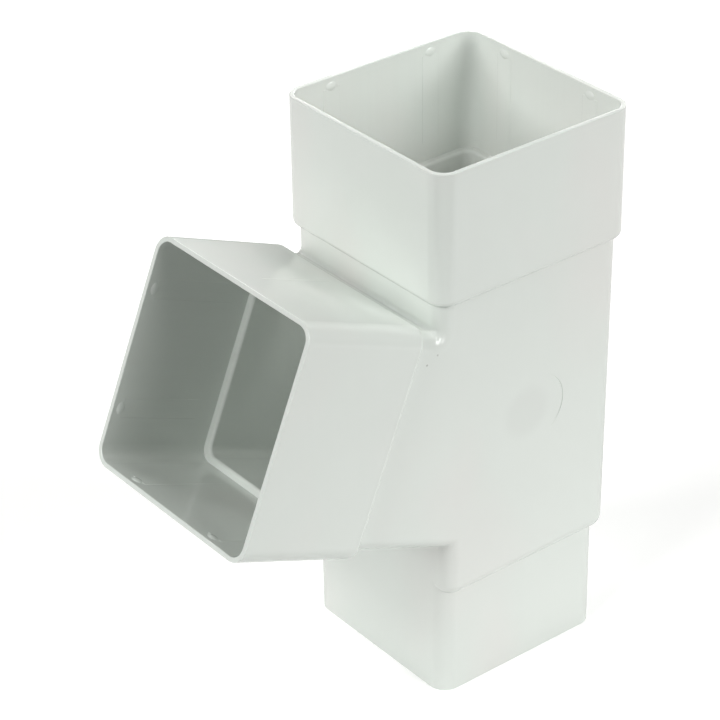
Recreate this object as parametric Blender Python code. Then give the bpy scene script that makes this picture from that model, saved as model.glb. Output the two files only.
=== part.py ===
"""Square downpipe branch: one white moulding that joins a side pipe to a main pipe.

The main run stands on its spigot, along Z. A socket at the top takes the pipe from above, and a
second socket, on a short tube that leaves the run towards -X, takes the side pipe. Metres, +Z up,
with the origin at the centre of the spigot's lower end.
"""

import math

import bmesh
import bpy
from mathutils import Matrix, Vector

MM = 0.001

# Driving dimensions: the square pipe, whose end goes into a socket and over the spigot, and the
# sockets that take it
PIPE_SIZE = 65.0 * MM
PIPE_WALL = 2.0 * MM
FIT_GAP = 0.45 * MM
SOCKET_WALL = 1.45 * MM
SOCKET_DEPTH = 37.0 * MM
TOP_FLOOR = 5.8 * MM
SIDE_FLOOR = 7.9 * MM

# The body between the sockets, which steps in from them. It is measured at the crease over the
# branch, and narrows a little from there to its base, where the spigot starts
BODY_STEP = 1.8 * MM
BODY_WALL = 1.9 * MM
BODY_DRAFT = math.radians(0.38)
SPIGOT_LENGTH = 33.2 * MM
SPIGOT_WALL = 2.0 * MM

# The branch: its angle to the run, the height of its axis over the body's base, and the bare body
# that shows between the crease over the branch and the end of each socket
BRANCH_ANGLE = math.radians(67.5)
BRANCH_RISE = 41.7 * MM
TOP_NECK = 6.0 * MM
SIDE_NECK = 3.4 * MM

# Roundings
CORNER_RADIUS = 5.5 * MM
TOP_CORNER_RADIUS = 6.0 * MM
CREASE_RADIUS = 1.0 * MM
CORNER_STEPS = 8
CREASE_STEPS = 4

# Retaining pips inside each socket, two on each wall
PIP_OFFSET = 17.9 * MM
PIP_FROM_MOUTH = 2.8 * MM
PIP_LENGTH = 4.2 * MM
PIP_WIDTH = 1.7 * MM
PIP_HEIGHT = 0.5 * MM
PIP_AROUND = 10
PIP_RINGS = 6

# Edges that bend more than SHARP_ANGLE stay sharp in the shading, and faces that bend less than
# FLAT_ANGLE are one face. Points within NEAR of each other are one point
SHARP_ANGLE = math.radians(30)
FLAT_ANGLE = math.radians(1)
NEAR = 0.01 * MM

# How far a cutter runs past the face that it opens
CUT_PAST = 5.0 * MM

# Sizes that follow
SOCKET_BORE = PIPE_SIZE + 2 * FIT_GAP
SOCKET_SIZE = SOCKET_BORE + 2 * SOCKET_WALL
BODY_SIZE = SOCKET_SIZE - 2 * BODY_STEP
SPIGOT_SIZE = PIPE_SIZE - 2 * PIPE_WALL - 2 * FIT_GAP
SPIGOT_BORE = SPIGOT_SIZE - 2 * SPIGOT_WALL

# The branch leaves the run's axis at BRANCH_START. Its crease is where its top meets the run's -X
# face: CREASE_ALONG is that line's distance along the branch, and CREASE_HEIGHT its height
BRANCH_OUT = Vector((-math.sin(BRANCH_ANGLE), 0, math.cos(BRANCH_ANGLE)))
BRANCH_UP = Vector((math.cos(BRANCH_ANGLE), 0, math.sin(BRANCH_ANGLE)))
BRANCH_START = Vector((0, 0, SPIGOT_LENGTH + BRANCH_RISE))
CREASE_ALONG = BODY_SIZE / 2 / math.tan(BRANCH_ANGLE / 2)
CREASE_HEIGHT = (BRANCH_START + BODY_SIZE / 2 * BRANCH_UP + CREASE_ALONG * BRANCH_OUT).z
OVERALL_HEIGHT = CREASE_HEIGHT + TOP_NECK + TOP_FLOOR + SOCKET_DEPTH
BRANCH_REACH = CREASE_ALONG + SIDE_NECK + SIDE_FLOOR + SOCKET_DEPTH

# The places of the two sockets: local +Z runs out through the mouth, from the mouth's centre
TOP_MOUTH = Matrix.Translation((0, 0, OVERALL_HEIGHT))
BRANCH_MOUTH = (
    Matrix.Translation(BRANCH_START + BRANCH_REACH * BRANCH_OUT)
    @ Matrix.Rotation(-BRANCH_ANGLE, 4, "Y")
)
UPRIGHT = Matrix.Rotation(math.pi / 2, 4, "X")

PART_NAME = "downpipe_branch"


def clear_scene():
    for obj in list(bpy.data.objects):
        bpy.data.objects.remove(obj, do_unlink=True)


def new_collection(name):
    collection = bpy.data.collections.new(name)
    bpy.context.scene.collection.children.link(collection)
    return collection


def add_object(name, bm, collection, place=None):
    """A mesh object made from bm, with its place worked into the mesh."""
    bm.transform(place or Matrix.Identity(4))
    bmesh.ops.recalc_face_normals(bm, faces=bm.faces)
    mesh = bpy.data.meshes.new(name)
    bm.to_mesh(mesh)
    bm.free()
    obj = bpy.data.objects.new(name, mesh)
    collection.objects.link(obj)
    return obj


def round_edges(bm, edges, radius, steps):
    bmesh.ops.bevel(
        bm,
        geom=edges,
        offset=radius,
        offset_type="OFFSET",
        segments=steps,
        profile=0.5,
        affect="EDGES",
        clamp_overlap=False,
    )


def along(edge, axis):
    """True where the edge runs along the axis with this index."""
    step = edge.verts[1].co - edge.verts[0].co
    return abs(step[axis]) > 0.999 * step.length


def rounded_block(size, bottom, top, radius, round_bottom):
    """A square block along Z with its upright edges rounded, and its bottom rim too if asked."""
    bm = bmesh.new()
    bmesh.ops.create_cube(bm, size=1)
    bm.transform(
        Matrix.Translation((0, 0, (bottom + top) / 2))
        @ Matrix.Diagonal((size, size, top - bottom, 1))
    )
    edges = [edge for edge in bm.edges if along(edge, 2)]
    if round_bottom:
        middle = (bottom + top) / 2
        edges += [
            edge
            for edge in bm.edges
            if not along(edge, 2) and edge.verts[0].co.z < middle
        ]
    round_edges(bm, edges, radius, CORNER_STEPS)
    return bm


def half_body(height, wall):
    """Half the body's width at this height, less a wall, with the draft that narrows it downwards."""
    return BODY_SIZE / 2 - wall - (CREASE_HEIGHT - height) * math.tan(BODY_DRAFT)


def run_outline(wall, half_low, bottom, top, reach):
    """The side view of the run with its branch: (x, z) points, from the branch's end round the base
    and the run's top to the crease over the branch.

    wall is how far the outline lies inside the body's outside, and half_low the distance from the
    axis to the -X face below the branch.
    """
    half = BODY_SIZE / 2 - wall
    upper = BRANCH_START + half * BRANCH_UP
    lower = BRANCH_START - half * BRANCH_UP

    def on_line(start, x):
        return (x, start.z + (x - start.x) * BRANCH_OUT.z / BRANCH_OUT.x)

    upper_end = upper + reach * BRANCH_OUT
    lower_end = lower + reach * BRANCH_OUT
    return [
        (upper_end.x, upper_end.z),
        (lower_end.x, lower_end.z),
        on_line(lower, -half_low),
        (-half_low, bottom),
        (half_body(bottom, wall), bottom),
        (half_body(top, wall), top),
        (-half, top),
        on_line(upper, -half),
    ]


def extruded_outline(name, outline, width):
    """A bmesh of the outline, which lies in the XZ plane, extruded to both sides of it."""
    curve = bpy.data.curves.new(name, "CURVE")
    curve.dimensions = "2D"
    curve.fill_mode = "BOTH"
    curve.extrude = width / 2
    spline = curve.splines.new("POLY")
    spline.points.add(len(outline) - 1)
    for point, (x, z) in zip(spline.points, outline):
        point.co = (x, z, 0, 1)
    spline.use_cyclic_u = True
    obj = bpy.data.objects.new(name, curve)
    bpy.context.scene.collection.objects.link(obj)
    graph = bpy.context.evaluated_depsgraph_get()
    mesh = bpy.data.meshes.new_from_object(obj.evaluated_get(graph))
    bpy.data.objects.remove(obj, do_unlink=True)
    bm = bmesh.new()
    bm.from_mesh(mesh)
    bpy.data.meshes.remove(mesh)
    bpy.data.curves.remove(curve)
    bmesh.ops.remove_doubles(bm, verts=bm.verts, dist=NEAR)
    bmesh.ops.dissolve_limit(bm, angle_limit=FLAT_ANGLE, verts=bm.verts, edges=bm.edges)
    bm.transform(UPRIGHT)
    return bm


def at_point(edge, point):
    """True where the edge crosses the XZ plane at this (x, z) point."""
    middle = (edge.verts[0].co + edge.verts[1].co) / 2
    return along(edge, 1) and math.hypot(middle.x - point[0], middle.z - point[1]) < NEAR


def joins(edge, start, end):
    """True where the edge runs from one of these (x, z) points to the other."""
    return all(
        min(math.hypot(vert.co.x - x, vert.co.z - z) for x, z in (start, end)) < NEAR
        for vert in edge.verts
    )


def run_with_branch(name, outline, wall):
    """The extruded outline with a cove over the branch, its base and its side edges rounded.

    The edges round its two upper ends stay square, for the sockets. Its sides lean in towards the
    base by the body's draft. Every radius allows for the wall.
    """
    half = BODY_SIZE / 2 - wall
    bm = extruded_outline(name, outline, 2 * half)
    crease = [edge for edge in bm.edges if at_point(edge, outline[-1])]
    set_back = (CREASE_RADIUS + wall) / math.tan(BRANCH_ANGLE / 2)
    round_edges(bm, crease, set_back, CREASE_STEPS)
    branch_end, run_end = outline[0:2], outline[5:7]
    sides = [
        edge
        for edge in bm.edges
        if not along(edge, 1)
        and abs(edge.verts[0].co.y - edge.verts[1].co.y) < NEAR
        and not joins(edge, *branch_end)
        and not joins(edge, *run_end)
    ]
    base = [edge for edge in bm.edges if at_point(edge, outline[4])]
    round_edges(bm, sides + base, CORNER_RADIUS - wall, CORNER_STEPS)
    for vert in bm.verts:
        vert.co.y *= half_body(vert.co.z, wall) / half
    return bm


def socket_shell(place, floor, radius, collection, name):
    """The outside of a socket, with its inner end rounded."""
    bm = rounded_block(SOCKET_SIZE, -SOCKET_DEPTH - floor, 0, radius, True)
    return add_object(name, bm, collection, place)


def socket_bore(place, radius, collection, name):
    bm = rounded_block(SOCKET_BORE, -SOCKET_DEPTH, CUT_PAST, radius - SOCKET_WALL, False)
    return add_object(name, bm, collection, place)


def socket_pips(place, collection, name):
    """The low pips inside a socket's mouth, which grip the pipe: two on each wall, half sunk."""
    bm = bmesh.new()
    for wall in range(4):
        turn = Matrix.Rotation(wall * math.pi / 2, 4, "Z")
        for side in (-1, 1):
            middle = Vector((side * PIP_OFFSET, SOCKET_BORE / 2, -PIP_FROM_MOUTH))
            bmesh.ops.create_uvsphere(
                bm,
                u_segments=PIP_AROUND,
                v_segments=PIP_RINGS,
                radius=1,
                matrix=turn
                @ Matrix.Translation(middle)
                @ Matrix.Diagonal((PIP_LENGTH / 2, PIP_HEIGHT, PIP_WIDTH / 2, 1)),
            )
    return add_object(name, bm, collection, place)


def white_plastic():
    material = bpy.data.materials.new("white_pvc")
    material.use_nodes = True
    shader = material.node_tree.nodes["Principled BSDF"]
    shader.inputs["Base Color"].default_value = (0.72, 0.75, 0.70, 1)
    shader.inputs["Roughness"].default_value = 0.32
    shader.inputs["Metallic"].default_value = 0.0
    return material


def boolean(obj, tool, operation):
    modifier = obj.modifiers.new(tool.name, "BOOLEAN")
    modifier.operation = operation
    modifier.solver = "EXACT"
    modifier.object = tool
    tool.hide_render = True
    tool.display_type = "WIRE"


def apply_booleans(obj):
    """The Booleans worked into the mesh, which is then shaded smooth but for its real edges."""
    graph = bpy.context.evaluated_depsgraph_get()
    mesh = bpy.data.meshes.new_from_object(obj.evaluated_get(graph))
    obj.modifiers.clear()
    obj.data = mesh
    mesh.shade_smooth()
    mesh.set_sharp_from_angle(angle=SHARP_ANGLE)


def build():
    clear_scene()
    parts = new_collection(PART_NAME)
    tools = new_collection("cutters_and_joins")

    # The body ends half-way through the floor of each socket
    outline = run_outline(
        0,
        SPIGOT_SIZE / 2,
        SPIGOT_LENGTH,
        OVERALL_HEIGHT - SOCKET_DEPTH - TOP_FLOOR / 2,
        BRANCH_REACH - SOCKET_DEPTH - SIDE_FLOOR / 2,
    )
    bm = run_with_branch(PART_NAME, outline, 0)
    branch = add_object(PART_NAME, bm, parts)
    branch.data.materials.append(white_plastic())
    sockets = (
        (TOP_MOUTH, TOP_FLOOR, TOP_CORNER_RADIUS, "top_socket"),
        (BRANCH_MOUTH, SIDE_FLOOR, CORNER_RADIUS, "side_socket"),
    )
    for place, floor, radius, name in sockets:
        boolean(branch, socket_shell(place, floor, radius, tools, name), "UNION")
    bm = rounded_block(SPIGOT_SIZE, 0, SPIGOT_LENGTH + BODY_WALL, CORNER_RADIUS, False)
    boolean(branch, add_object("spigot", bm, tools), "UNION")

    outline = run_outline(
        BODY_WALL,
        SPIGOT_BORE / 2,
        SPIGOT_LENGTH + BODY_WALL,
        OVERALL_HEIGHT + CUT_PAST,
        BRANCH_REACH + CUT_PAST,
    )
    bm = run_with_branch("run_bore", outline, BODY_WALL)
    boolean(branch, add_object("run_bore", bm, tools), "DIFFERENCE")
    past_floor = SPIGOT_LENGTH + 2 * BODY_WALL
    bm = rounded_block(SPIGOT_BORE, -CUT_PAST, past_floor, CORNER_RADIUS - SPIGOT_WALL, False)
    boolean(branch, add_object("spigot_bore", bm, tools), "DIFFERENCE")
    for place, _, radius, name in sockets:
        boolean(branch, socket_bore(place, radius, tools, name + "_bore"), "DIFFERENCE")
        boolean(branch, socket_pips(place, tools, name + "_pips"), "UNION")
    apply_booleans(branch)


build()
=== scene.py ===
"""Looks of the square downpipe branch: one glossy white moulding, standing on its spigot."""

import math

import bmesh
import bpy
from mathutils import Matrix, Vector


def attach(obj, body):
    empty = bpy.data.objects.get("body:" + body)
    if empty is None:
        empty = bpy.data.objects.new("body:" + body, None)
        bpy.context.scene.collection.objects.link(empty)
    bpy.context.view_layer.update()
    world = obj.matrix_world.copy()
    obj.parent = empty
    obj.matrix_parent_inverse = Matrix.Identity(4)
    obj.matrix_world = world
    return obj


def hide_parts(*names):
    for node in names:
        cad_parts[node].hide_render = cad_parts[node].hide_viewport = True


MM = 0.001

# Sizes of the moulding. The pipe that fits sets the sockets and the spigot. A floor is the plastic
# between a socket's ledge and its underside, and a neck the body from there to the crease
PIPE = 65.0 * MM
PIPE_WALL = 2.0 * MM
FIT_GAP = 0.45 * MM
SOCKET_WALL = 1.45 * MM
SOCKET_DEPTH = 37.0 * MM
TOP_FLOOR = 3.2 * MM
SIDE_FLOOR = 4.9 * MM
BODY_STEP = 1.8 * MM
BODY_WALL = 1.9 * MM
BODY_DRAFT = math.radians(0.38)
SPIGOT_LENGTH = 34.4 * MM
SPIGOT_WALL = 2.0 * MM
BRANCH_ANGLE = math.radians(67.5)
BRANCH_RISE = 40.5 * MM
TOP_NECK = 8.6 * MM
SIDE_NECK = 6.4 * MM

# Roundings of the corners, the undersides and the crease, and the softening of the thin edges
CORNER_RADIUS = 5.5 * MM
BODY_CORNER_RADIUS = 4.9 * MM
TOP_CORNER_RADIUS = 6.0 * MM
UNDER_RADIUS = 2.0 * MM
BODY_UNDER_RADIUS = 4.3 * MM
CREASE_RADIUS = 1.0 * MM
CORNER_STEPS = 16
CREASE_STEPS = 8
UNDER_STEPS = 10
RIM_SOFT = 0.25 * MM
LEDGE_SOFT = 0.9 * MM
SOFT_STEPS = 3

# Pips that grip the pipe
PIP_OFFSET = 17.9 * MM
PIP_FROM_MOUTH = 2.8 * MM
PIP_LENGTH = 4.2 * MM
PIP_WIDTH = 2.8 * MM
PIP_HEIGHT = 0.4 * MM
PIP_SUNK = 0.45 * MM
PIP_STEPS = 24

# The low lane that each pip's core leaves on the wall, from the pip to near the ledge
LANE_WIDTH = 6.3 * MM
LANE_TOP = 5.7 * MM
LANE_HEIGHT = 0.1 * MM
LANE_START = 3.4 * MM
LANE_END = 33.5 * MM
LANE_FADE = 4.0 * MM

# The mark of the gate's plug on the -Y face: a fine ring that bites only on its +X side
GATE_X = 1.8 * MM
GATE_HEIGHT = 87.6 * MM
GATE_RADIUS = 10.5 * MM
GATE_GROOVE = 0.3 * MM
GATE_LIFT = 0.5 * MM
GATE_TILT = math.radians(2.2)
GATE_STEPS = 120
GATE_GROOVE_STEPS = 12

# The weld line over the side socket: where it starts and ends along the branch, and sideways
WELD_START = (61.0 * MM, 2.0 * MM)
WELD_END = (87.0 * MM, 0.8 * MM)
WELD_WIDTH = 0.3 * MM
WELD_HEIGHT = 0.05 * MM
WELD_SOFT = 0.04 * MM

# The dull patch where the gate was cut off, on the -Y face, and the specks in the moulding: the
# middle and the radius of each
GATE_PATCH = (Vector((-1.2, -32.3, 87.4)) * MM, 10.0 * MM)
OUTSIDE_SPECKS = (
    (Vector((-33.9, -32.9, 118.6)) * MM, 0.55 * MM),
    (Vector((-37.6, -32.6, 116.8)) * MM, 0.4 * MM),
)
SIDE_SPECKS = (
    (Vector((-94.5, 32.9, 79.9)) * MM, 0.6 * MM),
    (Vector((-97.5, 32.9, 93.7)) * MM, 0.5 * MM),
)

# How far a cutter reaches past what it cuts, how close counts as in place, and how close two
# points are merged
CUT_PAST = 5.0 * MM
NEAR = 0.02 * MM
MERGE = 0.002 * MM

# How much of a face's normal points the way that the face is picked by, how much of an edge's
# length runs along the axis that it is picked by, and how much of a side edge's may go across
FACING = 0.9
ALONG = 0.999
ACROSS = 0.05

# Faces within FLAT_ANGLE of each other are made one. Faces within SMOOTH_ANGLE shade as one, where
# the larger ones count for more, by FLAT_WEIGHT of 100
FLAT_ANGLE = math.radians(0.1)
SMOOTH_ANGLE = math.radians(30)
FLAT_WEIGHT = 90

SOCKET_BORE = PIPE + 2 * FIT_GAP
SOCKET = SOCKET_BORE + 2 * SOCKET_WALL
BODY = SOCKET - 2 * BODY_STEP
SPIGOT = PIPE - 2 * PIPE_WALL - 2 * FIT_GAP
SPIGOT_BORE = SPIGOT - 2 * SPIGOT_WALL

# The branch leaves the run's axis at BRANCH_START. CREASE_ALONG is how far along it the run's -X
# face meets its top, and CREASE_HEIGHT the height of that line
BRANCH_OUT = Vector((-math.sin(BRANCH_ANGLE), 0, math.cos(BRANCH_ANGLE)))
BRANCH_UP = Vector((math.cos(BRANCH_ANGLE), 0, math.sin(BRANCH_ANGLE)))
BRANCH_START = Vector((0, 0, SPIGOT_LENGTH + BRANCH_RISE))
CREASE_ALONG = BODY / 2 / math.tan(BRANCH_ANGLE / 2)
CREASE_HEIGHT = (BRANCH_START + BODY / 2 * BRANCH_UP + CREASE_ALONG * BRANCH_OUT).z
HEIGHT = CREASE_HEIGHT + TOP_NECK + TOP_FLOOR + SOCKET_DEPTH
REACH = CREASE_ALONG + SIDE_NECK + SIDE_FLOOR + SOCKET_DEPTH

# The two sockets: local +Z runs out through the mouth, from the mouth's centre
TOP_MOUTH = Matrix.Translation((0, 0, HEIGHT))
SIDE_MOUTH = Matrix.Translation(BRANCH_START + REACH * BRANCH_OUT) @ Matrix.Rotation(
    -BRANCH_ANGLE, 4, "Y"
)

# The camera: the photograph's viewing direction, with the point that it looks at
CAMERA_AZIMUTH = math.radians(-37.873)
CAMERA_ELEVATION = math.radians(30.964)
CAMERA_ROLL = math.radians(-0.999)
CAMERA_AIM = Vector((-18.3012, 21.5252, 86.2)) * MM
CAMERA_DISTANCE = 779.598 * MM
CAMERA_LENS = 133.6288
CAMERA_SENSOR = 36
CAMERA_NEAREST = 0.01
CAMERA_FARTHEST = 50

# The table that it stands on, as the camera sees it: how far it reaches from the object's axis,
# and its finish. TABLE_GLOW is the white that is added to it for the camera alone
TABLE_SIDE = 0.6
TABLE_FRONT = 0.25
TABLE_BACK = 0.6
TABLE_THICKNESS = 0.02
TABLE_WHITE = (0.88, 0.88, 0.88, 1)
TABLE_ROUGHNESS = 0.9
TABLE_GLOSS = 0.1
TABLE_GLOW = 0.3

# The soft boxes round the object: name, azimuth and elevation of each from it in degrees, width
# and height in metres, and radiance
LAMP_AIM = Vector((-20, 0, 90)) * MM
LAMP_DISTANCE = 2.5
LAMP_TINT = (1, 1, 0.985)
LAMPS = (
    ("front_bottom_box", 7, 10, 0.96, 0.44, 4.6),
    ("front_box", 7, 30, 0.84, 0.44, 9.7),
    ("right_low_box", 30, 20, 0.92, 0.44, 7.3),
    ("right_box", 30, 30, 0.84, 0.44, 9.2),
    ("right_high_box", 30, 51, 0.62, 0.44, 8.4),
    ("back_right_box", 120, 30, 0.84, 0.44, 11.6),
    ("back_low_box", 142, 20, 0.92, 0.44, 13.0),
    ("back_floor_box", 142, 3, 1.9, 0.26, 0.9),
    ("back_high_box", 187, 51, 0.62, 0.44, 8.5),
    ("left_low_box", 254, 20, 0.92, 0.44, 13.6),
    ("left_back_box", 254, 51, 0.62, 0.44, 7.9),
    ("left_box", 277, 30, 0.84, 0.44, 6.2),
    ("left_high_box", 277, 41, 0.74, 0.44, 15.2),
)

# The white of the moulding, its blush round the gate and a speck, and how strongly these two show
WHITE = (0.78, 0.816, 0.782, 1)
GATE_BLUSH = (0.735, 0.77, 0.737, 1)
SPECK = (0.25, 0.25, 0.22, 1)
GATE_STRENGTH = 0.7
SPECK_STRENGTH = 0.55

# A noise keeps mostly between these two values
NOISE_LOW = 0.3
NOISE_HIGH = 0.7

# The clouds in the white, lighter and darker by this share, and the two tints that they go
# between. The tints' noise is moved aside and stretched, and its warm spots are its highest parts
CLOUDS_PER_METRE = 22.0
CLOUDS_AMOUNT = 0.012
COOLER = (0.996, 1.003, 1.0, 1)
WARMER = (1.014, 0.984, 0.99, 1)
TINTS_ASIDE = (0.31, 0.17, 0.43)
TINTS_STRETCH = (1, 1, 0.7)
WARM_FROM = 0.5
WARM_FULL = 0.72

# How rough the gloss is at its brightest and dullest, and how much duller the gate's patch is
ROUGHNESS = (0.1, 0.14)
DULL_PER_METRE = 60.0
GATE_DULLER = 0.08

# The surface: the wall's slow wave, the mould's grain, and the draw lines, whose pattern is drawn
# out along Z until it changes LINES_DRAWN times as fast there as across. Heights in millimetres
WAVES_PER_METRE = 34.0
GRAINS_PER_METRE = 1400.0
GRAIN_HEIGHT = 0.0003
LINES_PER_METRE = 420.0
LINES_DRAWN = 0.015

# The three finishes: name, turn that brings the draw to Z, height of the draw lines, how far they
# lighten or darken the white, height of the wave, specks, and the gate's patch where there is one
FINISHES = (
    ("white_outside", 0, 0.0001, 0.004, 0.04, OUTSIDE_SPECKS, GATE_PATCH),
    ("white_run_core", 0, 0.001, 0.014, 0.05, (), None),
    ("white_side_core", BRANCH_ANGLE, 0.0009, 0.012, 0.05, SIDE_SPECKS, None),
)


def deselect():
    for obj in bpy.context.selected_objects:
        obj.select_set(False)


def activate(obj):
    deselect()
    obj.select_set(True)
    bpy.context.view_layer.objects.active = obj


def settle(obj):
    """Works the object's place, turn and scale into its mesh."""
    activate(obj)
    bpy.ops.object.transform_apply(location=True, rotation=True, scale=True)


def block(name, low, high):
    """A box between two corners."""
    low, high = Vector(low), Vector(high)
    deselect()
    bpy.ops.mesh.primitive_cube_add(size=1, location=(low + high) / 2)
    obj = bpy.context.active_object
    obj.name = name
    obj.scale = high - low
    settle(obj)
    return obj


def edit(obj, kind):
    """Opens the mesh for editing by its VERT, EDGE or FACE elements, with nothing selected."""
    activate(obj)
    bpy.ops.object.mode_set(mode="EDIT")
    bpy.ops.mesh.select_mode(type=kind)
    bpy.ops.mesh.select_all(action="DESELECT")


def done():
    bpy.ops.object.mode_set(mode="OBJECT")


def pick(obj, kind, test):
    """Selects the elements that pass the test: a vertex by its place, an edge by its two ends, a
    face by its middle and its normal.
    """
    bpy.ops.mesh.select_mode(type=kind)
    bpy.ops.mesh.select_all(action="DESELECT")
    mesh = bmesh.from_edit_mesh(obj.data)
    if kind == "VERT":
        chosen = [vert for vert in mesh.verts if test(vert.co)]
    elif kind == "EDGE":
        chosen = [edge for edge in mesh.edges if test(edge.verts[0].co, edge.verts[1].co)]
    else:
        chosen = [face for face in mesh.faces if test(face.calc_center_median(), face.normal)]
    for element in chosen:
        element.select_set(True)
    bmesh.update_edit_mesh(obj.data)


def runs(a, b, axis):
    """True where the line from a to b runs along this axis."""
    return abs((b - a)[axis]) > ALONG * (b - a).length


def bevel(offset, steps):
    """Rounds the selected edges."""
    bpy.ops.mesh.bevel(
        offset_type="OFFSET",
        offset=offset,
        segments=steps,
        profile=0.5,
        affect="EDGES",
        clamp_overlap=False,
    )


def rounded_block(name, size, bottom, top, radius, soft_bottom=0.0, soft_top=0.0):
    """A square block along Z with its upright edges rounded.

    Its bottom rim is rounded by soft_bottom and its top rim by soft_top, where they aren't 0.
    """
    half = size / 2
    obj = block(name, (-half, -half, bottom), (half, half, top))

    edit(obj, "EDGE")
    pick(obj, "EDGE", lambda a, b: runs(a, b, 2))
    bevel(radius, CORNER_STEPS)
    if soft_bottom:
        pick(obj, "EDGE", lambda a, b: a.z < bottom + NEAR and b.z < bottom + NEAR)
        bevel(soft_bottom, UNDER_STEPS)
    if soft_top:
        pick(obj, "EDGE", lambda a, b: a.z > top - NEAR and b.z > top - NEAR)
        bevel(soft_top, SOFT_STEPS)
    done()
    return obj


def half_body(height, wall):
    """Half the body's width at this height, less a wall. The draft narrows it downwards."""
    return BODY / 2 - wall - (CREASE_HEIGHT - height) * math.tan(BODY_DRAFT)


def body_form(name, wall, half_low, bottom, top, reach):
    """The run, with the branch drawn out of its -X face, wall inside the body's outside.

    half_low is the distance from the axis to the -X face below the branch.
    """
    half = BODY / 2 - wall
    upper = BRANCH_START + half * BRANCH_UP
    lower = BRANCH_START - half * BRANCH_UP
    upper_along = (-half - upper.x) / BRANCH_OUT.x
    lower_along = (-half_low - lower.x) / BRANCH_OUT.x
    crease = upper + upper_along * BRANCH_OUT
    heel = lower + lower_along * BRANCH_OUT

    obj = block(name, (-half, -half, bottom), (half, half, top))
    edit(obj, "VERT")
    for height in (crease.z, heel.z):
        bpy.ops.mesh.select_all(action="SELECT")
        bpy.ops.mesh.bisect(plane_co=(0, 0, height), plane_no=(0, 0, 1))
    pick(obj, "VERT", lambda place: place.x < 0 and place.z < heel.z + NEAR)
    bpy.ops.transform.translate(value=(half - half_low, 0, 0))
    pick(obj, "FACE", lambda middle, normal: normal.x < -FACING and heel.z < middle.z < crease.z)
    drawn = (reach - upper_along) * BRANCH_OUT
    bpy.ops.mesh.extrude_region_move(TRANSFORM_OT_translate={"value": drawn})
    rest = (upper_along - lower_along) * BRANCH_OUT
    pick(obj, "VERT", lambda place: abs(place.z - (heel + drawn).z) < NEAR)
    bpy.ops.transform.translate(value=rest)

    # The draft: the +X face and the two sides lean in towards the base
    heights = (bottom, heel.z, crease.z, top, (heel + drawn + rest).z, (crease + drawn).z)
    for height in heights:
        shift = half_body(height, wall) - half
        pick(obj, "VERT", lambda place: place.x > 0 and abs(place.z - height) < NEAR)
        bpy.ops.transform.translate(value=(shift, 0, 0))
        pick(obj, "VERT", lambda place: abs(place.z - height) < NEAR)
        bpy.ops.transform.resize(value=(1, 1 + shift / half, 1), center_override=(0, 0, 0))
    bpy.ops.mesh.select_all(action="SELECT")
    bpy.ops.mesh.dissolve_limited(angle_limit=FLAT_ANGLE)

    def at(a, b, point):
        middle = (a + b) / 2
        return runs(a, b, 1) and math.hypot(middle.x - point.x, middle.z - point.z) < NEAR

    pick(obj, "EDGE", lambda a, b: at(a, b, crease))
    bevel((CREASE_RADIUS + wall) / math.tan(BRANCH_ANGLE / 2), CREASE_STEPS)
    branch_end = upper + reach * BRANCH_OUT

    def at_bottom(a, b):
        return a.z < bottom + NEAR and b.z < bottom + NEAR

    def rounded(a, b):
        at_top = a.z > top - NEAR and b.z > top - NEAR
        from_axis = (a - branch_end).dot(BRANCH_OUT)
        at_branch_end = abs(from_axis) < NEAR and abs((b - branch_end).dot(BRANCH_OUT)) < NEAR
        side = abs(a.y - b.y) < ACROSS * (a - b).length and a.y * b.y > 0
        return side and not (at_top or at_bottom(a, b) or at_branch_end)

    pick(obj, "EDGE", rounded)
    bevel(BODY_CORNER_RADIUS - wall, CORNER_STEPS)
    pick(obj, "EDGE", at_bottom)
    bevel(BODY_UNDER_RADIUS - wall, UNDER_STEPS)
    done()
    return obj


def join(obj, tool, operation):
    """Works the tool into the object as a union or a difference, and removes the tool."""
    activate(obj)
    modifier = obj.modifiers.new(tool.name, "BOOLEAN")
    modifier.operation = operation
    modifier.solver = "EXACT"
    modifier.object = tool
    bpy.ops.object.modifier_apply(modifier=modifier.name)
    bpy.data.objects.remove(tool, do_unlink=True)
    edit(obj, "VERT")
    bpy.ops.mesh.select_all(action="SELECT")
    bpy.ops.mesh.remove_doubles(threshold=MERGE)
    bpy.ops.mesh.dissolve_degenerate(threshold=MERGE)
    done()


def put(obj, place):
    """Moves the object there, with its place worked into its mesh."""
    obj.matrix_world = place
    settle(obj)
    return obj


def socket_shell(name, place, floor, radius):
    """A socket's outside, with its wall, its floor and the rounding under it."""
    obj = rounded_block(name, SOCKET, -SOCKET_DEPTH - floor, 0, radius, UNDER_RADIUS, RIM_SOFT)
    return put(obj, place)


def socket_bore(name, place, radius):
    """The hollow of a socket, which flares over the last quarter millimetre of its mouth."""
    obj = rounded_block(name, SOCKET_BORE, -SOCKET_DEPTH, -RIM_SOFT, radius - SOCKET_WALL)
    edit(obj, "FACE")
    pick(obj, "FACE", lambda middle, normal: normal.z > FACING)
    half = SOCKET_BORE / 2
    for step in range(SOFT_STEPS):
        before = math.radians(90) * step / SOFT_STEPS
        after = math.radians(90) * (step + 1) / SOFT_STEPS
        rise = RIM_SOFT * (math.sin(after) - math.sin(before))
        wide_before = half + RIM_SOFT * (1 - math.cos(before))
        wide_after = half + RIM_SOFT * (1 - math.cos(after))
        grow = wide_after / wide_before
        bpy.ops.mesh.extrude_region_move(TRANSFORM_OT_translate={"value": (0, 0, rise)})
        bpy.ops.transform.resize(value=(grow, grow, 1), center_override=(0, 0, 0))
    bpy.ops.mesh.extrude_region_move(TRANSFORM_OT_translate={"value": (0, 0, CUT_PAST)})
    done()
    return put(obj, place)


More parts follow.
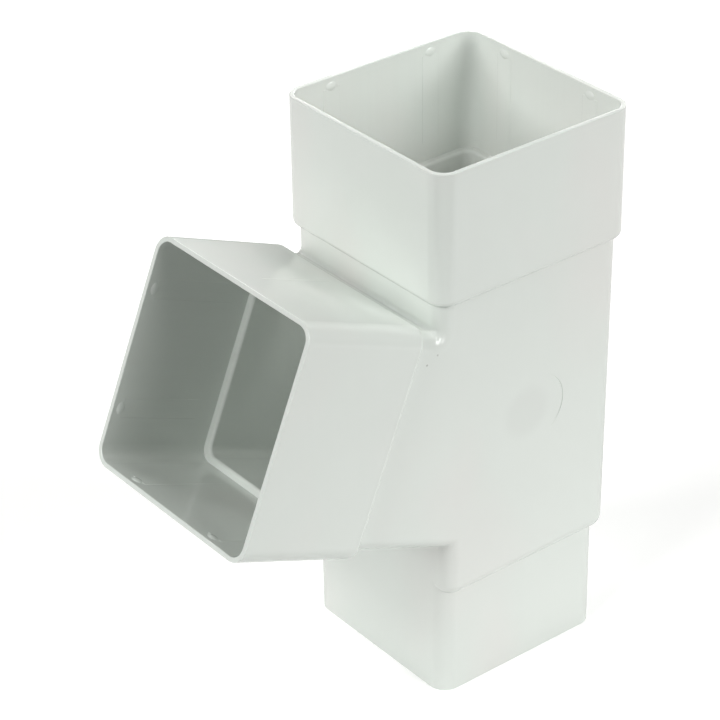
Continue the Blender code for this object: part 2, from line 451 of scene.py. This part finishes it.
def two_on_each_wall(first, place):
    """Repeats a piece that stands on the left of a socket's +Y wall, and puts it in the socket."""
    copies = [first]
    for wall in range(4):
        for side in (-1, 1):
            if wall == 0 and side == -1:
                continue
            copy = first.copy()
            copy.data = first.data.copy()
            bpy.context.scene.collection.objects.link(copy)
            slide = Matrix.Translation((0 if side < 0 else 2 * PIP_OFFSET, 0, 0))
            copy.matrix_world = Matrix.Rotation(wall * math.pi / 2, 4, "Z") @ slide
            copies.append(copy)
    deselect()
    for copy in copies:
        copy.select_set(True)
    bpy.context.view_layer.objects.active = first
    bpy.ops.object.join()
    return put(first, place)


def pips(name, place):
    """The low pips inside a socket's mouth, their middles sunk in its walls."""
    deselect()
    bpy.ops.mesh.primitive_uv_sphere_add(segments=PIP_STEPS, ring_count=PIP_STEPS // 2, radius=1)
    pip = bpy.context.active_object
    pip.name = name
    depth = PIP_HEIGHT + PIP_SUNK
    at_wall = math.sqrt(1 - (PIP_SUNK / depth) ** 2)
    pip.scale = (PIP_LENGTH / 2 / at_wall, depth, PIP_WIDTH / 2 / at_wall)
    pip.location = (-PIP_OFFSET, SOCKET_BORE / 2 + PIP_SUNK, -PIP_FROM_MOUTH)
    settle(pip)
    return two_on_each_wall(pip, place)


def lanes(name, place):
    """The lanes, half sunk in the wall, whose sides slope and whose far ends fade out."""
    wall = SOCKET_BORE / 2
    low = (-PIP_OFFSET - LANE_WIDTH / 2, wall - LANE_HEIGHT, -LANE_END)
    high = (-PIP_OFFSET + LANE_WIDTH / 2, wall + LANE_HEIGHT, -LANE_START)
    lane = block(name, low, high)
    edit(lane, "FACE")
    pick(lane, "FACE", lambda middle, normal: normal.y < -FACING)
    about = (-PIP_OFFSET, wall - LANE_HEIGHT, -LANE_START)
    narrower = LANE_TOP / LANE_WIDTH
    shorter = 1 - LANE_FADE / (LANE_END - LANE_START)
    bpy.ops.transform.resize(value=(narrower, 1, shorter), center_override=about)
    done()
    return two_on_each_wall(lane, place)


def gate_ring():
    """A cutter for the gate mark's groove."""
    deselect()
    bpy.ops.mesh.primitive_torus_add(
        major_radius=GATE_RADIUS,
        minor_radius=GATE_GROOVE,
        major_segments=GATE_STEPS,
        minor_segments=GATE_GROOVE_STEPS,
    )
    ring = bpy.context.active_object
    ring.name = "gate_ring"
    right = Vector((1, 0, 0))
    out = Vector((0, -math.cos(BODY_DRAFT), -math.sin(BODY_DRAFT)))
    face = Matrix((right, out.cross(right), out)).transposed().to_4x4()
    middle = Vector((GATE_X, -half_body(GATE_HEIGHT, 0), GATE_HEIGHT)) + GATE_LIFT * out
    return put(ring, Matrix.Translation(middle) @ face @ Matrix.Rotation(GATE_TILT, 4, "Y"))


def weld_line():
    """The fine raised line over the side socket."""
    start = Vector((WELD_START[1], WELD_START[0], 0))
    end = Vector((WELD_END[1], WELD_END[0], 0))
    corner = Vector((WELD_WIDTH / 2, (end - start).length / 2, WELD_HEIGHT))
    line = block("weld_line", -corner, corner)
    edit(line, "EDGE")
    pick(line, "EDGE", lambda a, b: a.z > 0 and b.z > 0 and runs(a, b, 1))
    bevel(WELD_SOFT, SOFT_STEPS)
    done()
    turn = Matrix.Rotation(math.atan2(start.x - end.x, end.y - start.y), 4, "Z")
    top = BRANCH_START + SOCKET / 2 * BRANCH_UP
    across = Vector((0, 1, 0))
    face = Matrix((across, BRANCH_OUT, across.cross(BRANCH_OUT))).transposed().to_4x4()
    middle = (start + end) / 2
    return put(line, Matrix.Translation(top) @ face @ Matrix.Translation(middle) @ turn)


def soften_ledge(obj, place):
    """Rounds the inner edge of the ledge on a socket's floor."""
    back = place.inverted()
    half = SOCKET_BORE / 2 - LEDGE_SOFT

    def inner(a, b):
        a, b = back @ a, back @ b
        on_floor = max(abs(a.z + SOCKET_DEPTH), abs(b.z + SOCKET_DEPTH)) < NEAR
        return on_floor and max(abs(a.x), abs(a.y), abs(b.x), abs(b.y)) < half

    edit(obj, "EDGE")
    pick(obj, "EDGE", inner)
    bevel(LEDGE_SOFT, 2 * SOFT_STEPS)
    done()


def smooth_faces(obj):
    """Smooth roundings beside flats that stay flat."""
    activate(obj)
    bpy.ops.object.shade_smooth_by_angle(angle=SMOOTH_ANGLE)
    modifier = obj.modifiers.new("flat_faces", "WEIGHTED_NORMAL")
    modifier.keep_sharp = True
    modifier.weight = FLAT_WEIGHT
    bpy.ops.object.modifier_apply(modifier=modifier.name)


def moulding():
    top_end = HEIGHT - SOCKET_DEPTH - TOP_FLOOR / 2
    branch_end = REACH - SOCKET_DEPTH - SIDE_FLOOR / 2
    obj = body_form("branch_moulding", 0, SPIGOT / 2, SPIGOT_LENGTH, top_end, branch_end)
    sockets = (
        ("top_socket", TOP_MOUTH, TOP_FLOOR, TOP_CORNER_RADIUS),
        ("side_socket", SIDE_MOUTH, SIDE_FLOOR, CORNER_RADIUS),
    )
    for name, place, floor, radius in sockets:
        join(obj, socket_shell(name, place, floor, radius), "UNION")
    past_rounding = SPIGOT_LENGTH + BODY_UNDER_RADIUS + BODY_WALL
    spigot = rounded_block("spigot", SPIGOT, 0, past_rounding, CORNER_RADIUS)
    join(obj, spigot, "UNION")
    join(obj, gate_ring(), "DIFFERENCE")
    join(obj, weld_line(), "UNION")

    past_ends = (HEIGHT + CUT_PAST, REACH + CUT_PAST)
    bore_floor = SPIGOT_LENGTH + BODY_WALL
    join(obj, body_form("run_bore", BODY_WALL, SPIGOT_BORE / 2, bore_floor, *past_ends), "DIFFERENCE")
    spigot_top = SPIGOT_LENGTH + 2 * BODY_WALL
    corner = CORNER_RADIUS - SPIGOT_WALL
    join(obj, rounded_block("spigot_bore", SPIGOT_BORE, -CUT_PAST, spigot_top, corner), "DIFFERENCE")
    for name, place, floor, radius in sockets:
        join(obj, socket_bore(name + "_bore", place, radius), "DIFFERENCE")
        soften_ledge(obj, place)
        join(obj, lanes(name + "_lanes", place), "UNION")
        join(obj, pips(name + "_pips", place), "UNION")
    smooth_faces(obj)
    return obj


def add(tree, kind, settings=None, **values):
    """A new node, with its settings and the values of its sockets."""
    node = tree.nodes.new(kind)
    for key, value in (settings or {}).items():
        setattr(node, key, value)
    for key, value in values.items():
        node.inputs[key.replace("_", " ")].default_value = value
    return node


def group(name, takes, gives):
    """An empty shader node group with these inputs and outputs, and its two end nodes."""
    tree = bpy.data.node_groups.new(name, "ShaderNodeTree")
    for label, kind in takes:
        tree.interface.new_socket(label, in_out="INPUT", socket_type="NodeSocket" + kind)
    for label, kind in gives:
        tree.interface.new_socket(label, in_out="OUTPUT", socket_type="NodeSocket" + kind)
    return tree, tree.nodes.new("NodeGroupInput"), tree.nodes.new("NodeGroupOutput")


def placed(tree, pattern, **values):
    """The node group, placed in a material with its own values."""
    return add(tree, "ShaderNodeGroup", {"node_tree": pattern}, **values)


def noise_range(tree, settings=None):
    """A node that spreads a noise over the two values that it is given."""
    return add(tree, "ShaderNodeMapRange", settings, From_Min=NOISE_LOW, From_Max=NOISE_HIGH)


def clouding():
    """Broad soft clouds in the white, lighter and darker, warmer and cooler."""
    takes = (("Colour", "Color"), ("Per Metre", "Float"), ("Amount", "Float"))
    tree, entry, leave = group("clouding", takes, (("Colour", "Color"),))
    link = tree.links.new
    place = add(tree, "ShaderNodeTexCoord")
    clouds = add(tree, "ShaderNodeTexNoise", Detail=3.0, Roughness=0.55)
    link(place.outputs["Object"], clouds.inputs["Vector"])
    link(entry.outputs["Per Metre"], clouds.inputs["Scale"])
    light = noise_range(tree, {"clamp": False})
    link(clouds.outputs["Fac"], light.inputs["Value"])
    for operation, limit in (("SUBTRACT", "To Min"), ("ADD", "To Max")):
        from_one = add(tree, "ShaderNodeMath", {"operation": operation})
        from_one.inputs[0].default_value = 1
        link(entry.outputs["Amount"], from_one.inputs[1])
        link(from_one.outputs[0], light.inputs[limit])
    shaded = add(tree, "ShaderNodeVectorMath", {"operation": "SCALE"})
    link(entry.outputs["Colour"], shaded.inputs[0])
    link(light.outputs[0], shaded.inputs["Scale"])
    aside = add(tree, "ShaderNodeMapping", Location=TINTS_ASIDE, Scale=TINTS_STRETCH)
    link(place.outputs["Object"], aside.inputs["Vector"])
    hues = add(tree, "ShaderNodeTexNoise", Detail=2.0)
    link(aside.outputs[0], hues.inputs["Vector"])
    link(entry.outputs["Per Metre"], hues.inputs["Scale"])
    spread = add(tree, "ShaderNodeMapRange", From_Min=WARM_FROM, From_Max=WARM_FULL)
    link(hues.outputs["Fac"], spread.inputs["Value"])
    tint = add(tree, "ShaderNodeMix", {"data_type": "RGBA"})
    tint.inputs[6].default_value = COOLER
    tint.inputs[7].default_value = WARMER
    link(spread.outputs[0], tint.inputs[0])
    tinted = add(tree, "ShaderNodeVectorMath", {"operation": "MULTIPLY"})
    link(shaded.outputs[0], tinted.inputs[0])
    link(tint.outputs[2], tinted.inputs[1])
    link(tinted.outputs[0], leave.inputs["Colour"])
    return tree


def moulded_skin():
    """Height in millimetres: the slow wave that a wall keeps as it cools, and the mould's grain."""
    takes = (("Wave", "Float"), ("Grain", "Float"))
    tree, entry, leave = group("moulded_skin", takes, (("Height", "Float"),))
    link = tree.links.new
    place = add(tree, "ShaderNodeTexCoord")
    waves = add(tree, "ShaderNodeTexNoise", Scale=WAVES_PER_METRE, Detail=1.0)
    grains = add(tree, "ShaderNodeTexNoise", Scale=GRAINS_PER_METRE, Detail=2.0)
    both = add(tree, "ShaderNodeMath", {"operation": "ADD"})
    for index, (pattern, label) in enumerate(((waves, "Wave"), (grains, "Grain"))):
        link(place.outputs["Object"], pattern.inputs["Vector"])
        height = add(tree, "ShaderNodeMath", {"operation": "MULTIPLY"})
        link(pattern.outputs["Fac"], height.inputs[0])
        link(entry.outputs[label], height.inputs[1])
        link(height.outputs[0], both.inputs[index])
    link(both.outputs[0], leave.inputs["Height"])
    return tree


def draw_lines():
    """The fine lines that a core leaves along Z of the vector as it is drawn out, from 0 to 1."""
    takes = (("Vector", "Vector"), ("Per Metre", "Float"))
    tree, entry, leave = group("draw_lines", takes, (("Lines", "Float"),))
    link = tree.links.new
    long = add(tree, "ShaderNodeMapping", Scale=(1, 1, LINES_DRAWN))
    link(entry.outputs["Vector"], long.inputs["Vector"])
    lines = add(tree, "ShaderNodeTexNoise", Detail=2.0, Roughness=0.6)
    link(long.outputs[0], lines.inputs["Vector"])
    link(entry.outputs["Per Metre"], lines.inputs["Scale"])
    link(lines.outputs["Fac"], leave.inputs["Lines"])
    return tree


def blemish():
    """A round mark: 1 over its inner half, fading to 0 at its radius."""
    takes = (("Middle", "Vector"), ("Radius", "Float"))
    tree, entry, leave = group("blemish", takes, (("Mask", "Float"),))
    link = tree.links.new
    place = add(tree, "ShaderNodeTexCoord")
    away = add(tree, "ShaderNodeVectorMath", {"operation": "DISTANCE"})
    link(place.outputs["Object"], away.inputs[0])
    link(entry.outputs["Middle"], away.inputs[1])
    mask = add(tree, "ShaderNodeMapRange", {"interpolation_type": "SMOOTHSTEP"})
    link(away.outputs["Value"], mask.inputs["Value"])
    link(entry.outputs["Radius"], mask.inputs["From Min"])
    inner = add(tree, "ShaderNodeMath", {"operation": "MULTIPLY"})
    inner.inputs[1].default_value = 0.5
    link(entry.outputs["Radius"], inner.inputs[0])
    link(inner.outputs[0], mask.inputs["From Max"])
    link(mask.outputs[0], leave.inputs["Mask"])
    return tree


def marked(tree, pattern, colour, spots, mark, amount):
    """The colour with these round spots mixed into it, and the mask of the last of them."""
    for middle, radius in spots:
        spot = placed(tree, pattern, Middle=middle, Radius=radius)
        share = add(tree, "ShaderNodeMath", {"operation": "MULTIPLY"})
        share.inputs[1].default_value = amount
        tree.links.new(spot.outputs["Mask"], share.inputs[0])
        mix = add(tree, "ShaderNodeMix", {"data_type": "RGBA"})
        mix.inputs[7].default_value = mark
        tree.links.new(share.outputs[0], mix.inputs[0])
        tree.links.new(colour, mix.inputs[6])
        colour = mix.outputs[2]
    return colour, spot.outputs["Mask"]


def white_pvc(patterns, name, draw_turn, lines, streak, wave, specks, gate):
    """The glossy white of one side of the moulding, from its row in FINISHES."""
    material = bpy.data.materials.new(name)
    material.use_nodes = True
    tree = material.node_tree
    link = tree.links.new
    shader = tree.nodes["Principled BSDF"]
    place = add(tree, "ShaderNodeTexCoord")
    along = add(tree, "ShaderNodeMapping", Rotation=(0, draw_turn, 0))
    link(place.outputs["Object"], along.inputs["Vector"])
    drawn = placed(tree, patterns["draw_lines"], Per_Metre=LINES_PER_METRE)
    link(along.outputs[0], drawn.inputs["Vector"])

    clouds = placed(
        tree, patterns["clouding"], Colour=WHITE, Per_Metre=CLOUDS_PER_METRE, Amount=CLOUDS_AMOUNT
    )
    streaks = add(tree, "ShaderNodeMapRange", To_Min=1 - streak, To_Max=1 + streak)
    link(drawn.outputs["Lines"], streaks.inputs["Value"])
    streaked = add(tree, "ShaderNodeVectorMath", {"operation": "SCALE"})
    link(clouds.outputs["Colour"], streaked.inputs[0])
    link(streaks.outputs[0], streaked.inputs["Scale"])
    colour = streaked.outputs[0]
    if specks:
        colour, _ = marked(tree, patterns["blemish"], colour, specks, SPECK, SPECK_STRENGTH)
    dull = add(tree, "ShaderNodeTexNoise", Scale=DULL_PER_METRE, Detail=4.0, Roughness=0.6)
    link(place.outputs["Object"], dull.inputs["Vector"])
    rough = noise_range(tree)
    rough.inputs["To Min"].default_value, rough.inputs["To Max"].default_value = ROUGHNESS
    link(dull.outputs["Fac"], rough.inputs["Value"])
    roughness = rough.outputs[0]
    if gate:
        colour, mask = marked(
            tree, patterns["blemish"], colour, (gate,), GATE_BLUSH, GATE_STRENGTH
        )
        duller = add(tree, "ShaderNodeMath", {"operation": "MULTIPLY_ADD"})
        duller.inputs[1].default_value = GATE_DULLER
        link(mask, duller.inputs[0])
        link(roughness, duller.inputs[2])
        roughness = duller.outputs[0]
    link(colour, shader.inputs["Base Color"])
    link(roughness, shader.inputs["Roughness"])

    skin = placed(tree, patterns["moulded_skin"], Wave=wave, Grain=GRAIN_HEIGHT)
    ridges = add(tree, "ShaderNodeMath", {"operation": "MULTIPLY_ADD"})
    ridges.inputs[1].default_value = lines
    link(drawn.outputs["Lines"], ridges.inputs[0])
    link(skin.outputs["Height"], ridges.inputs[2])
    bump = add(tree, "ShaderNodeBump", Strength=1.0, Distance=MM)
    link(ridges.outputs[0], bump.inputs["Height"])
    link(bump.outputs["Normal"], shader.inputs["Normal"])
    return material


def finish(obj):
    """White inside and out, each core's faces with the lines of its own draw."""
    patterns = {
        "clouding": clouding(),
        "moulded_skin": moulded_skin(),
        "draw_lines": draw_lines(),
        "blemish": blemish(),
    }
    obj.data.materials.clear()
    for row in FINISHES:
        obj.data.materials.append(white_pvc(patterns, *row))
    to_side = SIDE_MOUTH.inverted()
    wide = SOCKET_BORE / 2 + 2 * NEAR
    narrow = BODY / 2 - BODY_WALL + 2 * NEAR
    spigot = SPIGOT_BORE / 2 + 2 * NEAR

    def in_run(middle, normal):
        half = wide if middle.z > HEIGHT - SOCKET_DEPTH - NEAR else narrow
        if middle.z < SPIGOT_LENGTH + BODY_WALL + NEAR:
            half = spigot
        clear = middle.x > -spigot or middle.z > BRANCH_START.z
        inside = max(abs(middle.x), abs(middle.y)) < half
        return clear and inside and middle.z < HEIGHT - NEAR

    def in_side(middle, normal):
        place = to_side @ middle
        half = wide if place.z > -SOCKET_DEPTH - NEAR else narrow
        past_run = middle.x < -spigot and place.z < -NEAR
        return past_run and max(abs(place.x), abs(place.y)) < half

    edit(obj, "FACE")
    for index, test in ((2, in_side), (1, in_run)):
        pick(obj, "FACE", test)
        obj.active_material_index = index
        bpy.ops.object.material_slot_assign()
    done()


def way_in(azimuth, elevation):
    """The direction from the object to what looks at it or lights it, its azimuth taken from -Y."""
    level = math.cos(elevation)
    return Vector((math.sin(azimuth) * level, -math.cos(azimuth) * level, math.sin(elevation)))


def camera():
    deselect()
    bpy.ops.object.camera_add()
    obj = bpy.context.active_object
    obj.name = "camera"
    back = way_in(CAMERA_AZIMUTH, CAMERA_ELEVATION)
    right = Vector((0, 0, 1)).cross(back).normalized()
    up = back.cross(right)
    turned_right = math.cos(CAMERA_ROLL) * right + math.sin(CAMERA_ROLL) * up
    turned_up = math.cos(CAMERA_ROLL) * up - math.sin(CAMERA_ROLL) * right
    turn = Matrix((turned_right, turned_up, back)).transposed().to_4x4()
    obj.matrix_world = Matrix.Translation(CAMERA_AIM + CAMERA_DISTANCE * back) @ turn
    obj.data.lens = CAMERA_LENS
    obj.data.sensor_width = CAMERA_SENSOR
    obj.data.clip_start = CAMERA_NEAREST
    obj.data.clip_end = CAMERA_FARTHEST
    bpy.context.scene.camera = obj


def white_to_camera(tree, shader, strength):
    """The shader with this much plain white added to it, in what the camera sees alone."""
    path = add(tree, "ShaderNodeLightPath")
    amount = add(tree, "ShaderNodeMath", {"operation": "MULTIPLY"})
    amount.inputs[1].default_value = strength
    tree.links.new(path.outputs["Is Camera Ray"], amount.inputs[0])
    glow = add(tree, "ShaderNodeEmission", Color=(1, 1, 1, 1))
    tree.links.new(amount.outputs[0], glow.inputs["Strength"])
    both = add(tree, "ShaderNodeAddShader")
    tree.links.new(shader, both.inputs[0])
    tree.links.new(glow.outputs[0], both.inputs[1])
    return both.outputs[0]


def floor():
    """The white table top, square to the camera, with its front edge just in front of the object."""
    low = (-TABLE_SIDE, -TABLE_FRONT, -TABLE_THICKNESS)
    obj = block("white_floor", low, (TABLE_SIDE, TABLE_BACK, 0))
    put(obj, Matrix.Rotation(CAMERA_AZIMUTH, 4, "Z"))
    material = bpy.data.materials.new("white_floor")
    material.use_nodes = True
    tree = material.node_tree
    shader = tree.nodes["Principled BSDF"]
    shader.inputs["Base Color"].default_value = TABLE_WHITE
    shader.inputs["Roughness"].default_value = TABLE_ROUGHNESS
    shader.inputs["Specular IOR Level"].default_value = TABLE_GLOSS
    seen = white_to_camera(tree, shader.outputs[0], TABLE_GLOW)
    tree.links.new(seen, tree.nodes["Material Output"].inputs["Surface"])
    obj.data.materials.append(material)


def lamp(name, azimuth, elevation, width, height, radiance):
    """A soft box that shines at the object from this way in degrees, LAMP_DISTANCE away."""
    deselect()
    bpy.ops.object.light_add(type="AREA")
    obj = bpy.context.active_object
    obj.name = name
    back = way_in(math.radians(azimuth), math.radians(elevation))
    obj.location = LAMP_AIM + LAMP_DISTANCE * back
    obj.rotation_euler = back.to_track_quat("Z", "Y").to_euler()
    obj.data.shape = "RECTANGLE"
    obj.data.size = width
    obj.data.size_y = height
    obj.data.color = LAMP_TINT
    obj.data.energy = math.pi * width * height * radiance


def studio():
    world = bpy.data.worlds.new("white_backdrop")
    bpy.context.scene.world = world
    world.use_nodes = True
    tree = world.node_tree
    background = tree.nodes["Background"]
    background.inputs["Color"].default_value = (1, 1, 1, 1)
    path = add(tree, "ShaderNodeLightPath")
    tree.links.new(path.outputs["Is Camera Ray"], background.inputs["Strength"])
    floor()
    for row in LAMPS:
        lamp(*row)
    bpy.context.scene.view_settings.view_transform = "Standard"


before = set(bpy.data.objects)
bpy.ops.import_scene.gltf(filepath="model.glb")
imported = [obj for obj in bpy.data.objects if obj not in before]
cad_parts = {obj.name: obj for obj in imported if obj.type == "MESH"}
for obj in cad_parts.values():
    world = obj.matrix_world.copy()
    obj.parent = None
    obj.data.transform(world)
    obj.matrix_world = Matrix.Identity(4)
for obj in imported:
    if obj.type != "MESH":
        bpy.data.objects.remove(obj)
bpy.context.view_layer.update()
camera()
piece = moulding()
finish(piece)
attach(piece, "root")
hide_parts("downpipe_branch")
studio()
